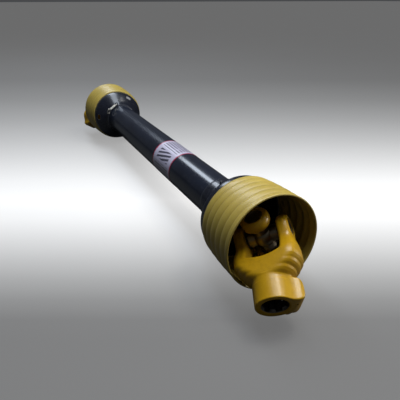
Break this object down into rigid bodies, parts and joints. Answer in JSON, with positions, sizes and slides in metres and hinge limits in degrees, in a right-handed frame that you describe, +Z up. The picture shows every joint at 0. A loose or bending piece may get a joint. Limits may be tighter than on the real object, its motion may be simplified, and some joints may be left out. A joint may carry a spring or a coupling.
{
  "type": "universal joint shaft",
  "caption": "Telescopic splined drive shaft with a universal joint, push-pin lock and ribbed guard bell at each end, inside a free-turning guard tube.",
  "frame": {"origin": "on the front splined bore's axis, where the splines begin 2 mm inside the bore's mouth", "axes": "+X along the shaft from the rear joint to the front joint, +Z up, with both outer yokes drooping as modelled"},
  "size_m": [1.0825, 0.148, 0.148],
  "materials": {
    "yoke_paint": "glossy golden-yellow enamel over forged steel",
    "bell_plastic": "satin yellow moulded polymer",
    "guard_plastic": "glossy black moulded polymer",
    "tube_plastic": "glossy black extruded polymer tube",
    "nylon": "natural nylon",
    "ground_steel": "ground and hardened",
    "tube_steel": "drawn steel, light oil film",
    "spring_steel": "dark spring steel",
    "zinc": "bright zinc plate",
    "seal_rubber": "nitrile rubber",
    "label_film": "printed vinyl film with plain crimson bars"
  },
  "bodies": {
    "front_guard": {"front_guard_bell": "bell_plastic", "front_guard_dish": "guard_plastic", "front_bearing_ring": "nylon", "front_lock_collar": "guard_plastic", "outer_guard_tube": "tube_plastic", "guard_label": "label_film"},
    "front_half": {"front_inner_yoke": "yoke_paint", "front_roll_pin": "spring_steel", "outer_profile_tube": "tube_steel", "front_inner_caps": "ground_steel", "front_inner_needles": "ground_steel", "front_inner_seals": "seal_rubber", "front_inner_snap_rings": "spring_steel"},
    "front_spider": {"front_cross": "ground_steel", "front_grease_nipple": "zinc"},
    "front_fork": {"front_outer_yoke": "yoke_paint", "front_outer_caps": "ground_steel", "front_outer_needles": "ground_steel", "front_outer_seals": "seal_rubber", "front_outer_snap_rings": "spring_steel", "front_pin_spring": "spring_steel", "front_stop_pin": "ground_steel"},
    "front_lock": {"front_push_pin": "zinc"},
    "rear_half": {"rear_inner_yoke": "yoke_paint", "rear_roll_pin": "spring_steel", "inner_profile_tube": "tube_steel", "rear_inner_caps": "ground_steel", "rear_inner_needles": "ground_steel", "rear_inner_seals": "seal_rubber", "rear_inner_snap_rings": "spring_steel"},
    "rear_spider": {"rear_cross": "ground_steel", "rear_grease_nipple": "zinc"},
    "rear_fork": {"rear_outer_yoke": "yoke_paint", "rear_outer_caps": "ground_steel", "rear_outer_needles": "ground_steel", "rear_outer_seals": "seal_rubber", "rear_outer_snap_rings": "spring_steel", "rear_pin_spring": "spring_steel", "rear_stop_pin": "ground_steel"},
    "rear_lock": {"rear_push_pin": "zinc"},
    "rear_guard": {"rear_guard_bell": "bell_plastic", "rear_guard_dish": "guard_plastic", "rear_bearing_ring": "nylon", "rear_lock_collar": "guard_plastic", "inner_guard_tube": "tube_plastic"},
    "chain": {"chain_loop": "zinc", "chain_link": "zinc"}
  },
  "joints": [
    {"name": "front_shaft_spin", "type": "hinge", "parent": "front_guard", "child": "front_half", "pos_m": [-0.0937, 0.03912, 0.04484], "axis": [1, 0, 0], "continuous": true},
    {"name": "front_cross_swing", "type": "hinge", "parent": "front_half", "child": "front_spider", "pos_m": [-0.0937, 0.03912, 0.04484], "axis": [0, -0.5, 0.866], "range_deg": [-1, 63]},
    {"name": "front_yoke_swing", "type": "hinge", "parent": "front_spider", "child": "front_fork", "pos_m": [-0.0937, 0.03912, 0.04484], "axis": [0.515, 0.7423, 0.4286], "range_deg": [-30, 10]},
    {"name": "front_pin_press", "type": "slide", "parent": "front_fork", "child": "front_lock", "axis": [0.3864, -0.1223, 0.9142], "range_m": [0, 0.007], "deforming": ["front_pin_spring"]},
    {"name": "telescope", "type": "slide", "parent": "front_half", "child": "rear_half", "axis": [-1, 0, 0], "range_m": [0, 0.3]},
    {"name": "rear_cross_swing", "type": "hinge", "parent": "rear_half", "child": "rear_spider", "pos_m": [-0.9537, 0.03912, 0.04484], "axis": [0, -0.5, 0.866], "range_deg": [-63, 1]},
    {"name": "rear_yoke_swing", "type": "hinge", "parent": "rear_spider", "child": "rear_fork", "pos_m": [-0.9537, 0.03912, 0.04484], "axis": [0.515, -0.7423, -0.4286], "range_deg": [-24, 16]},
    {"name": "rear_pin_press", "type": "slide", "parent": "rear_fork", "child": "rear_lock", "axis": [0.2057, -0.8301, 0.5183], "range_m": [0, 0.007], "deforming": ["rear_pin_spring"]},
    {"name": "rear_guard_spin", "type": "hinge", "parent": "rear_half", "child": "rear_guard", "pos_m": [-0.9537, 0.03912, 0.04484], "axis": [1, 0, 0], "continuous": true},
    {"name": "chain_swing", "type": "hinge", "parent": "rear_guard", "child": "chain", "pos_m": [-0.8437, 0.02794, 0.08657], "axis": [-1, 0, 0], "range_deg": [0, 30]}
  ]
}
